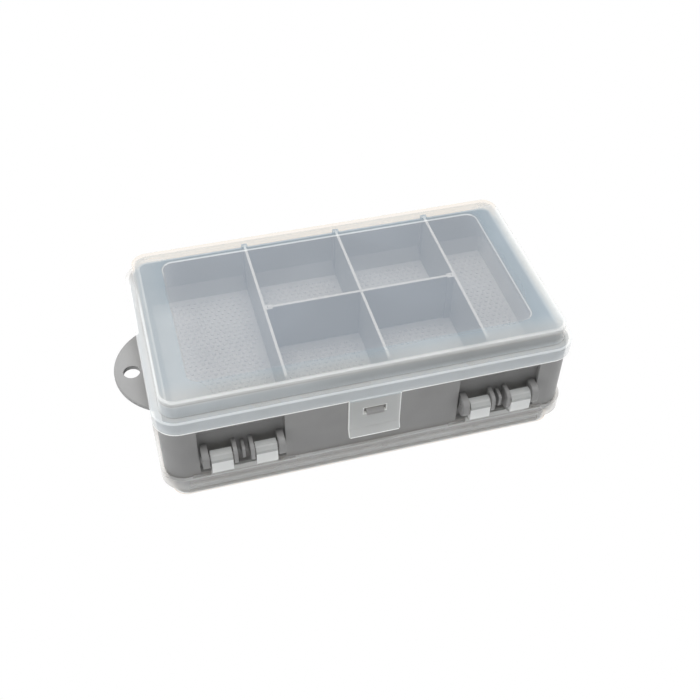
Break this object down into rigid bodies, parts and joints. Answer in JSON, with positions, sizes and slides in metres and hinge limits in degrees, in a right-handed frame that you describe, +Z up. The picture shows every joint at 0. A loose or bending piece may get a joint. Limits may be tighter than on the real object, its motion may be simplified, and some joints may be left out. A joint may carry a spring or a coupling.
{
  "type": "compartment organizer box",
  "caption": "Double-sided compartment box: a grey tray divided above and below, with hinged see-through lids that snap shut on both faces and a hang tab at one end.",
  "frame": {"origin": "middle of the flat base, which is the crown of the lower lid, below the middle of the lids", "axes": "+X along the length away from the hang tab, -Y to the front with the top lid's latch, +Z up"},
  "size_m": [0.176, 0.0982, 0.054],
  "materials": {
    "grey_plastic": "satin moulded polypropylene, mid grey",
    "clear_plastic": "milky see-through polypropylene",
    "pin_plastic": "moulded plastic rod, grey"
  },
  "bodies": {
    "body": {"body": "grey_plastic", "hang_tab": "grey_plastic", "top_divider_left": "grey_plastic", "top_divider_centre": "grey_plastic", "top_divider_right": "grey_plastic", "top_divider_cross": "grey_plastic", "bottom_divider_left": "grey_plastic", "bottom_divider_centre": "grey_plastic", "bottom_divider_right": "grey_plastic", "bottom_divider_cross": "grey_plastic", "top_left_hinge_left_pin": "pin_plastic", "top_left_hinge_right_pin": "pin_plastic", "top_right_hinge_left_pin": "pin_plastic", "top_right_hinge_right_pin": "pin_plastic", "bottom_left_hinge_left_pin": "pin_plastic", "bottom_left_hinge_right_pin": "pin_plastic", "bottom_right_hinge_left_pin": "pin_plastic", "bottom_right_hinge_right_pin": "pin_plastic"},
    "top_lid": {"top_lid": "clear_plastic"},
    "bottom_lid": {"bottom_lid": "clear_plastic"},
    "top_latch": {"top_latch": "clear_plastic"},
    "bottom_latch": {"bottom_latch": "clear_plastic"}
  },
  "joints": [
    {"name": "top_lid_hinge", "type": "hinge", "parent": "body", "child": "top_lid", "pos_m": [0, 0.0463, 0.0293], "axis": [-1, 0, 0], "range_deg": [0, 170]},
    {"name": "bottom_lid_hinge", "type": "hinge", "parent": "body", "child": "bottom_lid", "pos_m": [0, -0.0463, 0.0247], "axis": [-1, 0, 0], "range_deg": [0, 170]},
    {"name": "top_latch_flex", "type": "hinge", "parent": "top_lid", "child": "top_latch", "pos_m": [0, -0.046, 0.04005], "axis": [-1, 0, 0], "range_deg": [0, 20], "stiffness_Nm_per_rad": 0.1},
    {"name": "bottom_latch_flex", "type": "hinge", "parent": "bottom_lid", "child": "bottom_latch", "pos_m": [0, 0.046, 0.01395], "axis": [-1, 0, 0], "range_deg": [0, 20], "stiffness_Nm_per_rad": 0.1}
  ]
}
